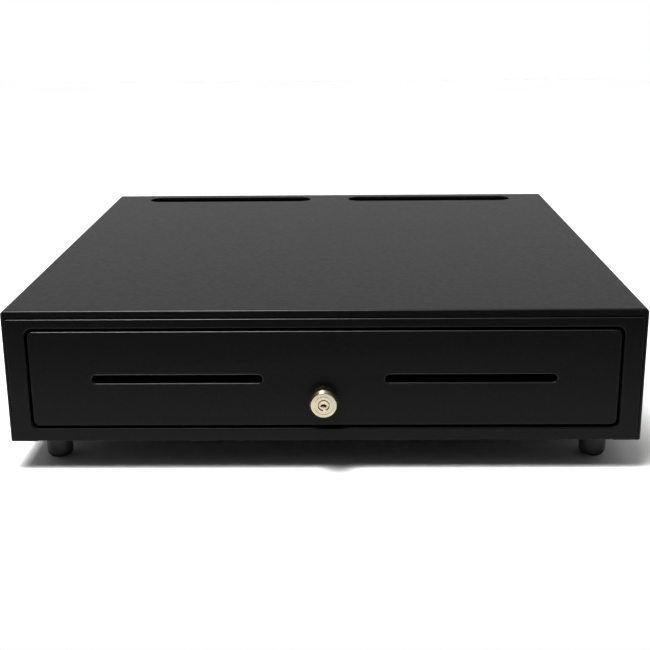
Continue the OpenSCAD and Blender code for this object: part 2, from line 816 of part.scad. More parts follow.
module ball_cages() {
    color(brass) both() translate([pan_x, 0, slide_z]) difference() {
        along_y(-cage_l / 2, cage_l / 2) {
            translate([9.6, -ball_v - cage_t / 2]) square([cage_t, 2 * ball_v + cage_t]);
            for (v = [-ball_v, ball_v]) translate([2.3, v - cage_t / 2]) square([7.6, cage_t]);
        }
        for (i = [0:balls - 1])
            post(ball_u, (i - (balls - 1) / 2) * ball_pitch, -ball_v - 2, ball_v + 2, ball_r + run);
    }
}

module bearing_balls() {
    color(steel) both() for (i = [0:balls - 1], v = [-ball_v, ball_v])
        translate([pan_x + ball_u, (i - (balls - 1) / 2) * ball_pitch, slide_z + v]) sphere(ball_r);
}

// ---- Moving parts of the latch ----

// Drawn engaged, then swung back to its released place
module latch_hook() {
    z0 = hook_z[0];
    z1 = hook_z[1];
    color(zinc) translate([pivot[0], pivot[1], 0]) rotate([0, 0, -latch_swing]) difference() {
        union() {
            post(0, 0, 44, 51, hub_r);
            slab([-4.5, -26.5, z0], [4, 0, z1]);
            slab([-4.5, -26.5, z0], [14.5, -23.2, z1]);
            slab([0, -6, z0], [30, -1, z1]);
            slab([28, -14, z0], [33, -1, z1]);
        }
        post(0, 0, 43, 52, pin_r + run);
        rotate([0, 0, latch_swing / 2]) post(-4.5, -7, z0 - over, z1 + over, 0.8);
        rotate([0, 0, latch_swing / 2]) translate([0, 0, z0 - over]) linear_extrude(z1 - z0 + 2 * over)
            translate([0, -drive_r - 0.1]) rotate(90) stadium(3.6, 2 * drive_pin_r + 0.3);
    }
}

// Pin under the hook that holds the switch lever off
module hook_pin() {
    color(steel) translate([pivot[0], pivot[1], 0]) rotate([0, 0, -latch_swing / 2]) {
        post(-4.5, -7, 38.2, hook_z[0], 1.05);
        post(-4.5, -7, hook_z[0], hook_z[1] + 0.4, 0.8);
    }
}

module plunger() {
    tip = drive_x + 3.4;
    color(steel) difference() {
        union() {
            rod_along_x(coil_x[0] + 4, drive_x - 3.2, drive_y, drive_z, plunger_r);
            slab([drive_x - 3.6, drive_y - 2.8, drive_z - 3.4], [tip, drive_y + 2.8, drive_z + 3.4]);
            rod_along_x(coil_x[1] + 6.2, coil_x[1] + 7.2, drive_y, drive_z, 5.3);
        }
        slab([drive_x - 9.6, drive_y - 8, hook_z[0] - 0.2], [tip + over, drive_y + 8, hook_z[1] + 0.2]);
        slab([drive_x - 9.6, drive_y + 2.8, drive_z - 6], [drive_x - 3, drive_y + 6, drive_z + 6]);
        post(drive_x, drive_y, drive_z - 6, drive_z + 6, drive_pin_r);
    }
}

module plunger_pin() {
    color(brass) post(drive_x, drive_y, drive_z - 4, drive_z + 4, drive_pin_r);
}

module plunger_spring() {
    color(steel) translate([coil_x[1] + 0.2, drive_y, drive_z]) rotate([0, 90, 0]) coil(4.9, 0.4, 5.8, 4);
}

module switch_lever() {
    color(steel) translate([lever_pivot[0], lever_pivot[1], 0]) rotate([0, 0, -lever_lean]) {
        slab([-0.2, 0, 38.6], [0.2, lever_l, 41.4]);
        post(0, 0, 38.2, 41.8, 0.6);
    }
}

case_cover();
base_pan();
rear_panel();
front_bezel();
rubber_feet();
foot_screws();
case_screws();
rail_brackets();
rail_screws();
outer_rail_left();
outer_rail_right();
drawer_bumpers();
lock_catch();
latch_plate();
latch_pivot_pin();
latch_screws();
latch_return_spring();
solenoid_frame();
solenoid_coil();
switch_body();
spring_posts();
eject_spring_left();
eject_spring_right();
circuit_board();
drawer_socket();
socket_contacts();
wire_harness();
drawer_front();
drawer_pan();
inner_rail_left();
inner_rail_right();
drawer_screws();
striker_bracket();
striker_pin();
lock_barrel();
lock_nut();
rod_bush();
till_tray();
coin_tray();
bill_dividers();
clip_rod();
clip_springs();
lock_plug();
lock_cam();
lock_rod();
ball_cages();
bearing_balls();
striker_roller();
latch_hook();
hook_pin();
plunger();
plunger_pin();
plunger_spring();
switch_lever();
bill_clip_1();
bill_clip_2();
bill_clip_3();
bill_clip_4();
bill_clip_5();
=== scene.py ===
import math

import bmesh
import bpy
from mathutils import Matrix, Vector


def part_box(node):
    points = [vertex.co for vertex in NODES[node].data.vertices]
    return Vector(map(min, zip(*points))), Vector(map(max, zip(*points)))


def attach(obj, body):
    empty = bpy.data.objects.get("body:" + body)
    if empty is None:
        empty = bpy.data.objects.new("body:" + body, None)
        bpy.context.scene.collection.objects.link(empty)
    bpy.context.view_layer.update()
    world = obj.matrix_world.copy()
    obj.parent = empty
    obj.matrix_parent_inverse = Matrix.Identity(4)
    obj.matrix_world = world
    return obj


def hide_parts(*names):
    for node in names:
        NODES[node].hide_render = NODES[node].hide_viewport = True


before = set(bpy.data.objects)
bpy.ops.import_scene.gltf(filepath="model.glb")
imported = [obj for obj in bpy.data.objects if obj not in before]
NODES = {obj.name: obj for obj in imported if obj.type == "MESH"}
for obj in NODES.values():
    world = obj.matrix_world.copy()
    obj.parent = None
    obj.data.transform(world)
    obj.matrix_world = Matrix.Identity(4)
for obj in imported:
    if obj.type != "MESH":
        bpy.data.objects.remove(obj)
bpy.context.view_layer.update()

MM = 0.001


# ---- Places taken from the frame ----

def high(node):
    """The corner of a CAD node's box with the largest X, Y and Z"""
    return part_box(node)[1]


COVER_LOW, COVER_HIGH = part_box("case_cover")
BEZEL_LOW, BEZEL_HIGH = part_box("front_bezel")
FRONT_LOW, FRONT_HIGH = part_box("drawer_front")
BARREL_LOW, BARREL_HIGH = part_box("lock_barrel")
SHEET = 1.0 * MM
X_SIDE = COVER_HIGH.x
Z_CASE = COVER_LOW.z
Z_TOP = COVER_HIGH.z
Y_FRONT = BEZEL_LOW.y
Y_COVER = COVER_LOW.y
Y_REAR = COVER_HIGH.y
LOCK_Z = (BARREL_LOW.z + BARREL_HIGH.z) / 2


# ---- Materials ----

class Paint:
    """One node material, with its shader and a few shortcuts for adding nodes."""

    def __init__(self, name, colour, roughness, metallic=0.0):
        self.material = bpy.data.materials.new(name)
        self.material.use_nodes = True
        self.tree = self.material.node_tree
        self.shader = self.tree.nodes["Principled BSDF"]
        self.shader.inputs["Base Color"].default_value = (*colour, 1)
        self.shader.inputs["Roughness"].default_value = roughness
        self.shader.inputs["Metallic"].default_value = metallic
        self.place = self.tree.nodes.new("ShaderNodeTexCoord").outputs["Object"]

    def set(self, socket, value):
        self.shader.inputs[socket].default_value = value

    def add(self, kind, **values):
        node = self.tree.nodes.new(kind)
        for key, value in values.items():
            setattr(node, key, value)
        return node

    def link(self, out, into):
        self.tree.links.new(out, into)

    def stretch(self, scale):
        """The object's coordinates, stretched by scale along each axis"""
        mapping = self.add("ShaderNodeMapping")
        mapping.inputs["Scale"].default_value = scale
        self.link(self.place, mapping.inputs["Vector"])
        return mapping.outputs["Vector"]

    def noise(self, scale, detail=2.0, place=None):
        node = self.add("ShaderNodeTexNoise")
        node.inputs["Scale"].default_value = scale
        node.inputs["Detail"].default_value = detail
        self.link(place or self.place, node.inputs["Vector"])
        return node.outputs["Fac"]

    def spread(self, value, bottom, top, start=0.35, stop=0.65):
        """value, with start to stop stretched to bottom to top"""
        node = self.add("ShaderNodeMapRange")
        node.inputs["From Min"].default_value = start
        node.inputs["From Max"].default_value = stop
        node.inputs["To Min"].default_value = bottom
        node.inputs["To Max"].default_value = top
        self.link(value, node.inputs["Value"])
        return node.outputs["Result"]

    def mix(self, value, first, second, start=0.35, stop=0.65):
        """A colour between first and second, by value"""
        node = self.add("ShaderNodeValToRGB")
        node.color_ramp.elements[0].position = start
        node.color_ramp.elements[0].color = (*first, 1)
        node.color_ramp.elements[1].position = stop
        node.color_ramp.elements[1].color = (*second, 1)
        self.link(value, node.inputs["Fac"])
        return node.outputs["Color"]

    def colour(self, out):
        self.link(out, self.shader.inputs["Base Color"])

    def rough(self, out):
        self.link(out, self.shader.inputs["Roughness"])

    def bump(self, value, depth, strength=1.0, before=None):
        node = self.add("ShaderNodeBump")
        node.inputs["Distance"].default_value = depth
        node.inputs["Strength"].default_value = strength
        self.link(value, node.inputs["Height"])
        if before:
            self.link(before, node.inputs["Normal"])
        self.link(node.outputs["Normal"], self.shader.inputs["Normal"])
        return node.outputs["Normal"]


def powder_coat(name, dark, light, roughness, shine=0.09):
    """Satin powder coat: fine orange peel, a finer grain, and faint cloudiness"""
    paint = Paint(name, dark, roughness)
    paint.set("Specular IOR Level", shine)
    paint.colour(paint.mix(paint.noise(420, 3), dark, light))
    paint.rough(paint.spread(paint.noise(260, 3), roughness - 0.02, roughness + 0.02))
    peel = paint.bump(paint.noise(780, 1), 0.05 * MM, 0.55)
    paint.bump(paint.noise(2600, 1), 0.02 * MM, 0.5, before=peel)
    return paint.material


def brushed_zinc(name, colour, roughness, along):
    """Plated steel with fine rolling lines along one axis and a cloudy spangle"""
    paint = Paint(name, colour, roughness, metallic=1.0)
    scale = [1.0, 1.0, 1.0]
    scale[along] = 0.02
    lines = paint.noise(1400, 3, paint.stretch(scale))
    cloud = paint.noise(60, 4)
    paint.colour(paint.mix(cloud, [c * 0.82 for c in colour], colour))
    paint.rough(paint.spread(lines, roughness - 0.06, roughness + 0.08))
    paint.bump(lines, 0.02 * MM, 0.35)
    return paint.material


def plated(name, colour, roughness, wear=0.1):
    """Bright plating with soft handling marks"""
    paint = Paint(name, colour, roughness, metallic=1.0)
    smears = paint.noise(240, 5)
    paint.rough(paint.spread(smears, roughness, roughness + wear))
    paint.colour(paint.mix(paint.noise(120, 3), [c * 0.9 for c in colour], colour))
    paint.bump(paint.noise(500, 2), 0.01 * MM, 0.25)
    return paint.material


def moulded(name, dark, light, roughness, grain):
    """Moulded plastic with a spark-eroded grain"""
    paint = Paint(name, dark, roughness)
    paint.colour(paint.mix(paint.noise(30, 3), dark, light))
    paint.rough(paint.spread(paint.noise(45, 3), roughness - 0.05, roughness + 0.06))
    paint.bump(paint.noise(grain, 2), 0.06 * MM, 0.5)
    return paint.material


def rubber(name):
    """Dull moulded rubber with a dusty, uneven colour"""
    paint = Paint(name, (0.012, 0.012, 0.013), 0.62)
    paint.set("Specular IOR Level", 0.4)
    paint.colour(paint.mix(paint.noise(180, 5), (0.009, 0.009, 0.01), (0.022, 0.022, 0.023)))
    paint.rough(paint.spread(paint.noise(90, 3), 0.55, 0.72))
    paint.bump(paint.noise(1500, 3), 0.04 * MM, 0.5)
    return paint.material


def floor_paint(name):
    """Plain pale floor, a little uneven"""
    paint = Paint(name, (0.9, 0.9, 0.9), 0.6)
    paint.colour(paint.mix(paint.noise(3, 2), (0.89, 0.89, 0.89), (0.91, 0.91, 0.91)))
    paint.rough(paint.spread(paint.noise(8, 2), 0.55, 0.65))
    return paint.material


COAT = powder_coat("powder_coat", (0.0030, 0.0030, 0.0031), (0.0046, 0.0045, 0.0045), 0.37)
# Painted highlight: lighter, glossier copies of the coat, worn only by the upper front bends and the paper
# slot lips so that they shine as bright lines
PAINTED_HIGHLIGHT_DARK, PAINTED_HIGHLIGHT_LIGHT = (0.0034, 0.0034, 0.0035), (0.0050, 0.0049, 0.0049)
COAT_PAINTED_HIGHLIGHT = powder_coat("powder_coat_painted_highlight", PAINTED_HIGHLIGHT_DARK, PAINTED_HIGHLIGHT_LIGHT, 0.34, 0.5)
COAT_SOFT_PAINTED_HIGHLIGHT = powder_coat("powder_coat_soft_painted_highlight", PAINTED_HIGHLIGHT_DARK, PAINTED_HIGHLIGHT_LIGHT, 0.34, 0.22)
COAT_INSIDE = powder_coat("powder_coat_inside", (0.010, 0.010, 0.011), (0.015, 0.015, 0.016), 0.5)
ZINC_Y = brushed_zinc("zinc_lengthwise", (0.60, 0.61, 0.62), 0.34, 1)
ZINC_X = brushed_zinc("zinc_crosswise", (0.58, 0.59, 0.61), 0.38, 0)
SCREW = plated("screw_plating", (0.56, 0.56, 0.58), 0.28)
SCREW_BLACK = plated("black_screw_plating", (0.03, 0.03, 0.033), 0.35)
SPRING = plated("spring_wire", (0.42, 0.43, 0.45), 0.26)
NICKEL = plated("nickel_plating", (0.50, 0.45, 0.32), 0.19, 0.08)
BRASS = plated("brass", (0.80, 0.60, 0.26), 0.25)
RUBBER = rubber("feet_rubber")
ABS = moulded("till_abs", (0.011, 0.011, 0.012), (0.017, 0.017, 0.018), 0.46, 1500)
ACETAL = moulded("clip_acetal", (0.016, 0.016, 0.017), (0.024, 0.024, 0.025), 0.36, 2600)
NYLON = moulded("bush_nylon", (0.68, 0.65, 0.58), (0.76, 0.73, 0.66), 0.42, 900)
TAPE = moulded("coil_tape", (0.30, 0.10, 0.02), (0.42, 0.17, 0.04), 0.35, 400)
BOARD = moulded("solder_mask", (0.012, 0.10, 0.045), (0.02, 0.14, 0.06), 0.28, 300)
SOCKET = moulded("socket_plastic", (0.014, 0.014, 0.015), (0.02, 0.02, 0.021), 0.4, 2200)
WIRE = moulded("wire_insulation", (0.22, 0.012, 0.01), (0.3, 0.02, 0.015), 0.42, 1200)


# ---- Mesh tools ----

def rounded(w, h, r, cx=0.0, cz=0.0, steps=8):
    """Points round a rectangle with round corners, anticlockwise"""
    points = []
    for i, (sx, sz) in enumerate(((1, 1), (-1, 1), (-1, -1), (1, -1))):
        for k in range(steps + 1):
            a = math.radians(90 * (i + k / steps))
            x = cx + sx * (w / 2 - r) + r * math.cos(a)
            z = cz + sz * (h / 2 - r) + r * math.sin(a)
            points.append((x, z))
    return points


def stadium(length, width, cx=0.0, cz=0.0, steps=10):
    return rounded(length, width, width / 2 - 1e-6, cx, cz, steps)


def facing_front(points, y):
    return [Vector((x, y, z)) for x, z in points]


def loft(bm, rings, closed=True, loop=False):
    """Faces between rings of equal count. closed joins each ring's ends, loop the last ring to the first."""
    rows = [[bm.verts.new(p) for p in ring] for ring in rings]
    count = len(rows[0])
    pairs = list(zip(rows, rows[1:])) + ([(rows[-1], rows[0])] if loop else [])
    for a, b in pairs:
        for i in range(count if closed else count - 1):
            j = (i + 1) % count
            bm.faces.new((a[i], a[j], b[j], b[i]))
    if not loop:
        bm.faces.new(rows[0][::-1])
        bm.faces.new(rows[-1])
    if not closed:
        bm.faces.new([row[0] for row in rows])
        bm.faces.new([row[-1] for row in rows][::-1])
    return rows


def turned(bm, profile, centre, axis="y", steps=72):
    """A turned solid: profile lists (radius, distance along axis), from one end of the axis to the other"""
    rings = []
    for r, d in profile:
        ring = []
        for k in range(steps):
            a = 2 * math.pi * k / steps
            u, v = max(r, 1e-7) * math.cos(a), max(r, 1e-7) * math.sin(a)
            at = {"x": (d, u, v), "y": (u, d, v), "z": (u, v, d)}[axis]
            ring.append(Vector(centre) + Vector(at))
        rings.append(ring)
    loft(bm, rings)


def curve_in(points, radius, steps=4):
    """A polyline with each inner corner rounded, for profiles"""
    result = [points[0]]
    for before, here, after in zip(points, points[1:], points[2:]):
        a = Vector(before) - Vector(here)
        b = Vector(after) - Vector(here)
        reach = min(radius, a.length * 0.45, b.length * 0.45)
        start = Vector(here) + a.normalized() * reach
        stop = Vector(here) + b.normalized() * reach
        for k in range(steps + 1):
            t = k / steps
            result.append(tuple(start * (1 - t) ** 2 + Vector(here) * 2 * t * (1 - t) + stop * t * t))
    return result + [points[-1]]


def block(bm, lowest, highest):
    """A box between two corners"""
    made = bmesh.ops.create_cube(bm, size=1.0)["verts"]
    size = Vector(highest) - Vector(lowest)
    middle = (Vector(highest) + Vector(lowest)) / 2
    bmesh.ops.scale(bm, vec=size, verts=made)
    bmesh.ops.translate(bm, vec=middle, verts=made)
    return made


def new_object(name, bm, material):
    bmesh.ops.remove_doubles(bm, verts=bm.verts[:], dist=1e-6)
    bmesh.ops.recalc_face_normals(bm, faces=bm.faces[:])
    mesh = bpy.data.meshes.new(name)
    bm.to_mesh(mesh)
    bm.free()
    made = bpy.data.objects.new(name, mesh)
    bpy.context.scene.collection.objects.link(made)
    mesh.materials.append(material)
    return made


def cut(target, tools):
    """Takes the tools out of target and removes them"""
    for tool in tools:
        knife = target.modifiers.new("cut", "BOOLEAN")
        knife.operation = "DIFFERENCE"
        knife.solver = "EXACT"
        knife.object = tool
    bpy.context.view_layer.update()
    done = target.evaluated_get(bpy.context.evaluated_depsgraph_get())
    mesh = bpy.data.meshes.new_from_object(done)
    target.modifiers.clear()
    target.data = mesh
    for tool in tools:
        bpy.data.objects.remove(tool)


def prism(points, y0, y1):
    """A cutting solid: points in X and Z, carried along Y"""
    bm = bmesh.new()
    loft(bm, [facing_front(points, y0), facing_front(points, y1)])
    return new_object("cutter", bm, COAT)


def drill(points, z0, z1):
    """A cutting solid: points in X and Y, carried along Z"""
    bm = bmesh.new()
    loft(bm, [[Vector((x, y, z)) for x, y in points] for z in (z0, z1)])
    return new_object("cutter", bm, COAT)


def soften(made, width, segments=2, angle=38):
    """Rounds the sharp edges and keeps the flat faces flat"""
    mesh = made.data
    mesh.polygons.foreach_set("use_smooth", [True] * len(mesh.polygons))
    if width:
        edge = made.modifiers.new("edges", "BEVEL")
        edge.width = width
        edge.segments = segments
        edge.limit_method = "ANGLE"
        edge.angle_limit = math.radians(angle)
        edge.use_clamp_overlap = True
        edge.miter_outer = "MITER_ARC"
    made.modifiers.new("flats", "WEIGHTED_NORMAL").keep_sharp = True


def paint_bend_highlights(made, finish, above):
    """Painted highlight: a pressing's upper front bends, the faces turned up towards the lamps, get a lighter
    and glossier copy of the coat as their own finish, so that they shine as bright lines
    """
    made.data.materials.append(finish)
    for face in made.data.polygons:
        if face.normal.z > 0.2 and face.normal.y < -0.2 and face.center.z > above:
            face.material_index = 1


def piece(name, bm_or_object, material, body, nodes=(), edge=0.0):
    made = bm_or_object
    if isinstance(made, bmesh.types.BMesh):
        made = new_object(name, made, material)
    made.name = name
    soften(made, edge)
    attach(made, body)
    if nodes:
        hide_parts(*nodes)
    return made


def dress(node, material, edge=0.2 * MM):
    """Gives a CAD node its finish: its own shape with slightly broken edges"""
    made = NODES[node]
    mesh = made.data
    mesh.materials.clear()
    mesh.materials.append(material)
    if "custom_normal" in mesh.attributes:
        mesh.attributes.remove(mesh.attributes["custom_normal"])
    weld = made.modifiers.new("weld", "WELD")
    weld.merge_threshold = 0.002 * MM
    soften(made, edge)


# ---- Case ----

RETURN_X = 188.5 * MM                 # inner edge of the cover's bottom flanges
BEND = 3.0 * MM                       # outer radius of the cover's top bends
LOW_BEND = 1.3 * MM                   # and of its bottom bends
SIDE_LIP = 2.4 * MM                   # the cover's front edge beside and over the bezel
TOP_LIP = 5.2 * MM
NOSE = 1.5 * MM                       # rounding of the cover's front edge
SLOT_L = 154.2 * MM
SLOT_W = 22.0 * MM
SLOT_X = 95.1 * MM
SLOT_Y = Y_REAR - 11 * MM - SLOT_W / 2
FOOT_X = 181.0 * MM
FOOT_INSET = 28.3 * MM                # from the case's front and rear edges to the feet's middles
FOOT_R = 9.3 * MM
FOOT_NOTCH = 20.0 * MM                # opening in the cover's bottom flange for a foot
CUT = 5.0 * MM                        # how far a cutting solid runs past the sheet that it cuts


def cover_path(y, side, top, bottom, radius, steps=8):
    """The cover's outline at y, from the left bottom flange over the top to the right one"""
    x, z0, z1 = X_SIDE - side, Z_CASE + bottom, Z_TOP - top
    low = max(radius - BEND + LOW_BEND, 0.3 * MM)
    points = [Vector((-RETURN_X, y, z0))]
    corners = ((-x + low, z0 + low, low, 270), (-x + radius, z1 - radius, radius, 180),
               (x - radius, z1 - radius, radius, 90), (x - low, z0 + low, low, 0))
    for cx, cz, r, start in corners:
        for k in range(steps + 1):
            a = math.radians(start - 90 * k / steps)
            points.append(Vector((cx + r * math.cos(a), y, cz + r * math.sin(a))))
    return points + [Vector((RETURN_X, y, z0))]


def case_cover():
    """The folded cover: a shell with a rounded front edge, its cable slots, and notches for the feet"""
    tick = 0.25 * MM                  # how far its sharp edges are broken
    rings = [
        cover_path(Y_REAR, tick, tick, tick, BEND - tick),
        cover_path(Y_REAR - tick, 0, 0, 0, BEND),
    ]
    for k in range(7):
        t = math.radians(15 * k)
        inset = NOSE * (1 - math.cos(t))
        rings.append(cover_path(Y_COVER + NOSE * (1 - math.sin(t)), inset, inset, inset / 2, BEND - inset))
    lip = 0.6 * MM
    rings += [
        cover_path(Y_COVER, SIDE_LIP - tick, TOP_LIP - tick, SHEET - tick, lip),
        cover_path(Y_COVER + tick, SIDE_LIP, TOP_LIP, SHEET, lip),
        cover_path(Y_COVER + SHEET, SIDE_LIP, TOP_LIP, SHEET, lip),
        cover_path(Y_COVER + SHEET, SHEET, SHEET, SHEET, BEND - SHEET),
        cover_path(Y_REAR, SHEET, SHEET, SHEET, BEND - SHEET),
    ]
    bm = bmesh.new()
    loft(bm, rings, closed=False, loop=True)
    made = new_object("case_cover_shell", bm, COAT)
    tools = []
    for side in (-1, 1):
        slot = stadium(SLOT_L, SLOT_W, side * SLOT_X, SLOT_Y, 16)
        tools.append(drill(slot, Z_TOP - CUT, Z_TOP + CUT))
        for y in (Y_FRONT + FOOT_INSET, Y_REAR - FOOT_INSET):
            notch = rounded(FOOT_NOTCH, FOOT_NOTCH, FOOT_NOTCH / 2 - 0.01 * MM, side * FOOT_X, y, 12)
            tools.append(drill(notch, Z_CASE - CUT, Z_CASE + 3 * MM))
    cut(made, tools)
    # Painted highlight on the cover's rounded front edge
    paint_bend_highlights(made, COAT_SOFT_PAINTED_HIGHLIGHT, FRONT_HIGH.z)
    piece("case_cover_shell", made, COAT, "case", ["case_cover"], 0.22 * MM)


def front_bezel():
    """Pressed front plate: rounded into the drawer opening, with its flanges turned back"""
    z = (BEZEL_LOW.z + BEZEL_HIGH.z) / 2
    w, h = BEZEL_HIGH.x - BEZEL_LOW.x, BEZEL_HIGH.z - BEZEL_LOW.z
    front_z = (FRONT_LOW.z + FRONT_HIGH.z) / 2
    open_w, open_h = 382.6 * MM, 67.9 * MM    # the drawer opening
    edge, roll, depth = 0.55 * MM, 1.1 * MM, 10.5 * MM

    def outer(y, inset):
        return facing_front(rounded(w - 2 * inset, h - 2 * inset, 1.2 * MM, 0.0, z), y)

    def inner(y, grow, r):
        return facing_front(rounded(open_w + 2 * grow, open_h + 2 * grow, r + grow, 0.0, front_z), y)

    r = 5.0 * MM
    rings = [outer(Y_FRONT + 12 * MM, 0.0), outer(Y_FRONT + edge, 0.0)]
    rings += [outer(Y_FRONT + edge * (1 - math.sin(t)), edge * (1 - math.cos(t)))
              for t in (math.radians(22.5 * k) for k in range(1, 5))]
    rings += [inner(Y_FRONT + roll * (1 - math.cos(t)), roll * (1 - math.sin(t)), r)
              for t in (math.radians(15 * k) for k in range(7))]
    rings += [inner(Y_FRONT + depth, 0.0, r), inner(Y_FRONT + depth, SHEET, r),
              inner(Y_FRONT + roll + SHEET, SHEET, r), outer(Y_FRONT + roll + SHEET, SHEET),
              outer(Y_FRONT + 12 * MM, SHEET)]
    bm = bmesh.new()
    loft(bm, rings, loop=True)
    flange_x, flange_z = 198 * MM, Z_CASE + 2 * SHEET
    block(bm, (-flange_x, Y_FRONT + 2 * MM, flange_z), (flange_x, Y_FRONT + 14 * MM, flange_z + SHEET))
    made = new_object("front_bezel_pressing", bm, COAT)
    # Painted highlight on the bezel's upper front bend
    paint_bend_highlights(made, COAT_PAINTED_HIGHLIGHT, FRONT_HIGH.z - 2 * MM)
    piece("front_bezel_pressing", made, COAT, "case", ["front_bezel"], 0.15 * MM)


def rubber_feet():
    """Four moulded feet, slightly tapered, each with a screw recess underneath"""
    top = high("rubber_feet").z
    r = FOOT_R
    outline = [(4.2 * MM, 7 * MM), (4.2 * MM, 0.35 * MM), (4.6 * MM, 0.0), (r - 2.3 * MM, 0.0),
               (r - 0.7 * MM, 2.2 * MM), (r, top - 3 * MM), (r, top - 1.2 * MM), (r - 0.5 * MM, top),
               (1.7 * MM, top)]
    profile = curve_in(outline, 1.3 * MM)
    bm = bmesh.new()
    for x in (-FOOT_X, FOOT_X):
        for y in (Y_FRONT + FOOT_INSET, Y_REAR - FOOT_INSET):
            rings = [[Vector((x + p * math.cos(a), y + p * math.sin(a), d))
                      for a in (math.radians(6 * k) for k in range(60))] for p, d in profile]
            loft(bm, rings, loop=True)
    piece("rubber_feet_moulded", bm, RUBBER, "case", ["rubber_feet"])


# ---- Drawer front and lock ----

PAPER_SLOT_L = 112.0 * MM
PAPER_SLOT_H = 7.2 * MM
PAPER_SLOT_X = 94.7 * MM
PAPER_SLOT_Z = Z_CASE + 43.35 * MM


def drawer_front():
    """Drawer front: a shallow tray with rolled edges, two paper slots and the lock hole"""
    w, h = FRONT_HIGH.x - FRONT_LOW.x, FRONT_HIGH.z - FRONT_LOW.z
    z = (FRONT_LOW.z + FRONT_HIGH.z) / 2
    back = FRONT_HIGH.y
    r, roll = 4.0 * MM, 1.0 * MM

    def ring(y, inset):
        return facing_front(rounded(w - 2 * inset, h - 2 * inset, r - inset, 0.0, z), y)

    floor_y = Y_FRONT + SHEET + roll
    rings = [ring(floor_y, SHEET + roll), ring(floor_y, SHEET), ring(back, SHEET), ring(back, 0.0)]
    rings += [ring(Y_FRONT + roll * (1 - math.sin(t)), roll * (1 - math.cos(t)))
              for t in (math.radians(15 * k) for k in range(7))]
    bm = bmesh.new()
    loft(bm, rings)
    made = new_object("drawer_front_pressing", bm, COAT)
    hole = rounded(16.2 * MM, 16.2 * MM, 8.09 * MM, 0.0, LOCK_Z, 16)
    slots = [stadium(PAPER_SLOT_L, PAPER_SLOT_H, x, PAPER_SLOT_Z) for x in (-PAPER_SLOT_X, PAPER_SLOT_X)]
    cut(made, [prism(shape, Y_FRONT - CUT, Y_FRONT + CUT) for shape in slots + [hole]])
    # Painted highlight on the drawer front's top bend
    paint_bend_highlights(made, COAT_PAINTED_HIGHLIGHT, FRONT_HIGH.z - 2 * MM)
    piece("drawer_front_pressing", made, COAT, "drawer", ["drawer_front"])
    bm = bmesh.new()
    for x in (-PAPER_SLOT_X, PAPER_SLOT_X):
        slot_lip(bm, x)
    # Painted highlight: the slot lips wear the lighter, glossier copy of the coat
    piece("paper_slot_lips", bm, COAT_SOFT_PAINTED_HIGHLIGHT, "drawer")


def slot_lip(bm, x):
    """The rolled edge of a paper slot, turned into the drawer"""
    roll, depth, wall = 0.9 * MM, 3.4 * MM, 0.5 * MM

    def ring(y, inset):
        return facing_front(stadium(PAPER_SLOT_L - 2 * inset, PAPER_SLOT_H - 2 * inset, x, PAPER_SLOT_Z), y)

    rings = [ring(Y_FRONT + roll * (1 - math.cos(t)), roll * math.sin(t))
             for t in (math.radians(15 * k) for k in range(7))]
    rings += [ring(Y_FRONT + depth, roll), ring(Y_FRONT + depth, roll - wall),
              ring(Y_FRONT + 0.9 * MM, roll - wall), ring(Y_FRONT + 0.4 * MM, 0.0)]
    loft(bm, rings, loop=True)


def lock_barrel():
    """Nickel-plated collar with a broad bevel, and a flat face with a fine groove round the plug"""
    face = BARREL_LOW.y
    back = BARREL_HIGH.y
    r = (BARREL_HIGH.x - BARREL_LOW.x) / 2
    plug = high("lock_plug").x + 0.1 * MM
    thread = 8.0 * MM
    outline = [(plug, back), (thread, back), (thread, Y_FRONT),
               (r - 0.2 * MM, Y_FRONT), (r, Y_FRONT - 0.3 * MM), (r, face + 2.4 * MM), (r - 1.3 * MM, face),
               (plug + 2.6 * MM, face), (plug + 2.4 * MM, face + 0.1 * MM), (plug + 2.2 * MM, face),
               (plug + 0.25 * MM, face), (plug, face + 0.25 * MM)]
    profile = []
    for before, here, after in zip(outline[-1:] + outline, outline, outline[1:] + outline[:1]):
        profile += curve_in([before, here, after], 0.22 * MM, 3)[1:-1]
    bm = bmesh.new()
    turns = [math.radians(5 * k) for k in range(72)]
    rings = [[Vector((p * math.cos(a), d, LOCK_Z + p * math.sin(a))) for a in turns] for p, d in profile]
    loft(bm, rings, loop=True)
    piece("lock_collar", bm, NICKEL, "drawer", ["lock_barrel"])


def lock_plug():
    """Turning plug with a wavy key slot, a rounded rim and its square tail"""
    box_low, box_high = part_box("lock_plug")
    r = box_high.x
    face = box_low.y
    tail = box_high.y
    end = tail - 4.6 * MM
    outline = [(0.0, face), (r - 0.3 * MM, face), (r, face + 0.3 * MM), (r, end), (0.0, end)]
    bm = bmesh.new()
    turned(bm, curve_in(outline, 0.25 * MM, 3), (0, 0, LOCK_Z))
    made = new_object("lock_plug_turned", bm, NICKEL)
    key = [(-1.85, -0.55), (-0.6, -0.55), (-0.35, -0.1), (0.15, -0.1), (0.4, -0.75), (1.85, -0.75),
           (1.85, 0.35), (0.9, 0.35), (0.65, 0.75), (-0.9, 0.75), (-1.1, 0.35), (-1.85, 0.35)]
    cut(made, [prism([(x * MM, LOCK_Z + z * MM) for x, z in key], face - 2 * MM, face + 12 * MM)])
    piece("lock_plug_turned", made, NICKEL, "lock", ["lock_plug"], 0.06 * MM)
    side = 2.0 * MM
    bm = bmesh.new()
    block(bm, (-side, tail - 5 * MM, LOCK_Z - side), (side, tail, LOCK_Z + side))
    piece("lock_plug_tail", bm, NICKEL, "lock", edge=0.2 * MM)


# ---- Carried-over CAD nodes ----

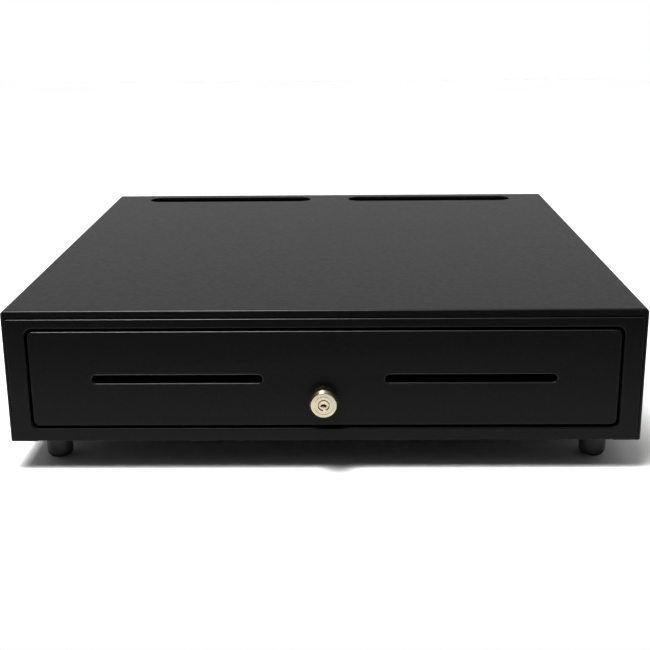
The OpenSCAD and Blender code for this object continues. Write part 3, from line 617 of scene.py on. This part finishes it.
# Each node's material, and the width in millimetres to which its sharp edges are broken
FINISHES = {
    "base_pan": (COAT, 0.2), "rear_panel": (COAT, 0.25), "foot_screws": (SCREW, 0.15),
    "case_screws": (SCREW_BLACK, 0.12), "rail_brackets": (ZINC_Y, 0.25), "rail_screws": (SCREW, 0.1),
    "outer_rail_left": (ZINC_Y, 0.25), "outer_rail_right": (ZINC_Y, 0.25), "drawer_bumpers": (RUBBER, 0.5),
    "lock_catch": (ZINC_X, 0.2), "latch_plate": (ZINC_X, 0.25), "latch_pivot_pin": (SCREW, 0.2),
    "latch_screws": (SCREW, 0.12), "latch_return_spring": (SPRING, 0.0), "solenoid_frame": (ZINC_X, 0.2),
    "solenoid_coil": (TAPE, 0.3), "switch_body": (SOCKET, 0.3), "spring_posts": (ZINC_Y, 0.2),
    "eject_spring_left": (SPRING, 0.0), "eject_spring_right": (SPRING, 0.0), "circuit_board": (BOARD, 0.12),
    "drawer_socket": (SOCKET, 0.15), "socket_contacts": (BRASS, 0.05), "wire_harness": (WIRE, 0.0),
    "drawer_pan": (COAT_INSIDE, 0.25), "inner_rail_left": (ZINC_Y, 0.25), "inner_rail_right": (ZINC_Y, 0.25),
    "drawer_screws": (SCREW, 0.12), "striker_bracket": (ZINC_X, 0.2), "striker_pin": (SCREW, 0.2),
    "lock_nut": (ZINC_X, 0.25), "rod_bush": (NYLON, 0.2), "till_tray": (ABS, 0.5), "coin_tray": (ABS, 0.4),
    "bill_dividers": (ABS, 0.4), "clip_rod": (SCREW, 0.2), "clip_springs": (SPRING, 0.0),
    "lock_cam": (ZINC_X, 0.2), "lock_rod": (ZINC_Y, 0.2), "ball_cages": (BRASS, 0.1),
    "bearing_balls": (SCREW, 0.0), "striker_roller": (SCREW, 0.25), "latch_hook": (ZINC_X, 0.25),
    "hook_pin": (SCREW, 0.1), "plunger": (SCREW, 0.2), "plunger_pin": (BRASS, 0.1),
    "plunger_spring": (SPRING, 0.0), "switch_lever": (SCREW, 0.05),
    **{f"bill_clip_{k}": (ACETAL, 0.4) for k in range(1, 6)},
}


# ---- Floor, lights and camera ----

SKY_FRONT = 0.05                      # strength of the sky's light in front of the drawer
SKY_BACK = 0.8                        # and behind it
TABLE_X = 2.0                         # the white table: its front edge lies just before the drawer
TABLE_Y = (-0.40, 3.0)


def studio():
    """The floor, the world's light and the plain view of colours"""
    bm = bmesh.new()
    near, far = TABLE_Y
    corners = [(-TABLE_X, near, 0), (TABLE_X, near, 0), (TABLE_X, far, 0), (-TABLE_X, far, 0)]
    bm.faces.new([bm.verts.new(c) for c in corners])
    floor = new_object("floor", bm, floor_paint("floor_white"))
    world = bpy.data.worlds.new("studio")
    world.use_nodes = True
    sky_light(world.node_tree)
    bpy.context.scene.world = world
    bpy.context.scene.view_settings.view_transform = "Standard"


def sky_light(tree):
    """White where it is seen; as light, dim in front of the drawer and bright above and behind it"""
    seen = tree.nodes["Background"]
    seen.inputs["Strength"].default_value = 1.0
    seen.inputs["Color"].default_value = (1.0, 1.0, 1.0, 1)
    light = tree.nodes.new("ShaderNodeBackground")
    way = tree.nodes.new("ShaderNodeSeparateXYZ")
    tree.links.new(tree.nodes.new("ShaderNodeTexCoord").outputs["Generated"], way.inputs["Vector"])
    ramp = tree.nodes.new("ShaderNodeMapRange")
    ramp.interpolation_type = "SMOOTHSTEP"
    ramp.inputs["From Min"].default_value = -0.9
    ramp.inputs["From Max"].default_value = 0.7
    ramp.inputs["To Min"].default_value = SKY_FRONT
    ramp.inputs["To Max"].default_value = SKY_BACK
    tree.links.new(way.outputs["Y"], ramp.inputs["Value"])
    tree.links.new(ramp.outputs["Result"], light.inputs["Strength"])
    choice = tree.nodes.new("ShaderNodeMixShader")
    tree.links.new(tree.nodes.new("ShaderNodeLightPath").outputs["Is Camera Ray"], choice.inputs["Fac"])
    tree.links.new(light.outputs["Background"], choice.inputs[1])
    tree.links.new(seen.outputs["Background"], choice.inputs[2])
    tree.links.new(choice.outputs["Shader"], tree.nodes["World Output"].inputs["Surface"])


def sun(name, towards, strength, spread):
    """A far light that shines along towards, spread over an angle in degrees"""
    data = bpy.data.lights.new(name, "SUN")
    data.energy = strength
    data.angle = math.radians(spread)
    made = bpy.data.objects.new(name, data)
    made.rotation_mode = "QUATERNION"
    made.rotation_quaternion = Vector(towards).to_track_quat("-Z", "Y")
    bpy.context.scene.collection.objects.link(made)


def soft_light(name, place, target, size, power):
    """A glowing panel at place that faces target"""
    data = bpy.data.lights.new(name, "AREA")
    data.shape = "RECTANGLE"
    data.size, data.size_y = size
    data.energy = power
    made = bpy.data.objects.new(name, data)
    made.location = place
    made.rotation_mode = "QUATERNION"
    made.rotation_quaternion = (Vector(target) - Vector(place)).to_track_quat("-Z", "Y")
    bpy.context.scene.collection.objects.link(made)


LENS = 63.09                          # millimetres, as Blender states it
SENSOR = 36.0
CAMERA_PLACE = Vector((12.6, -692.0, 304.9)) * MM + Vector((0, Y_FRONT, 0))
YAW, PITCH, ROLL = 0.95, 16.56, -0.51


def camera():
    """Camera from its yaw, pitch and roll in degrees: yaw to the left, pitch down, roll about its own axis"""
    yaw, pitch, roll = (math.radians(a) for a in (YAW, PITCH, ROLL))
    forward = Vector((-math.sin(yaw) * math.cos(pitch), math.cos(yaw) * math.cos(pitch), -math.sin(pitch)))
    right = Vector((math.cos(yaw), math.sin(yaw), 0.0))
    down = forward.cross(right)
    rolled_right = right * math.cos(roll) - down * math.sin(roll)
    rolled_down = right * math.sin(roll) + down * math.cos(roll)
    data = bpy.data.cameras.new("camera")
    data.lens, data.sensor_width = LENS, SENSOR
    data.clip_start, data.clip_end = 0.01, 50.0
    made = bpy.data.objects.new("camera", data)
    columns = (rolled_right, -rolled_down, -forward)
    made.matrix_world = Matrix.Translation(CAMERA_PLACE) @ Matrix(columns).transposed().to_4x4()
    bpy.context.scene.collection.objects.link(made)
    bpy.context.scene.camera = made


camera()
studio()
sun("overhead", (0.25, 0.2, -1.0), 2.5, 24)
soft_light("key", (-0.28, -0.35, 1.5), (-0.15, -0.2, 0.1), (0.4, 0.4), 22)
case_cover()
front_bezel()
rubber_feet()
drawer_front()
lock_barrel()
lock_plug()
for node, (finish, edge) in FINISHES.items():
    dress(node, finish, edge * MM)
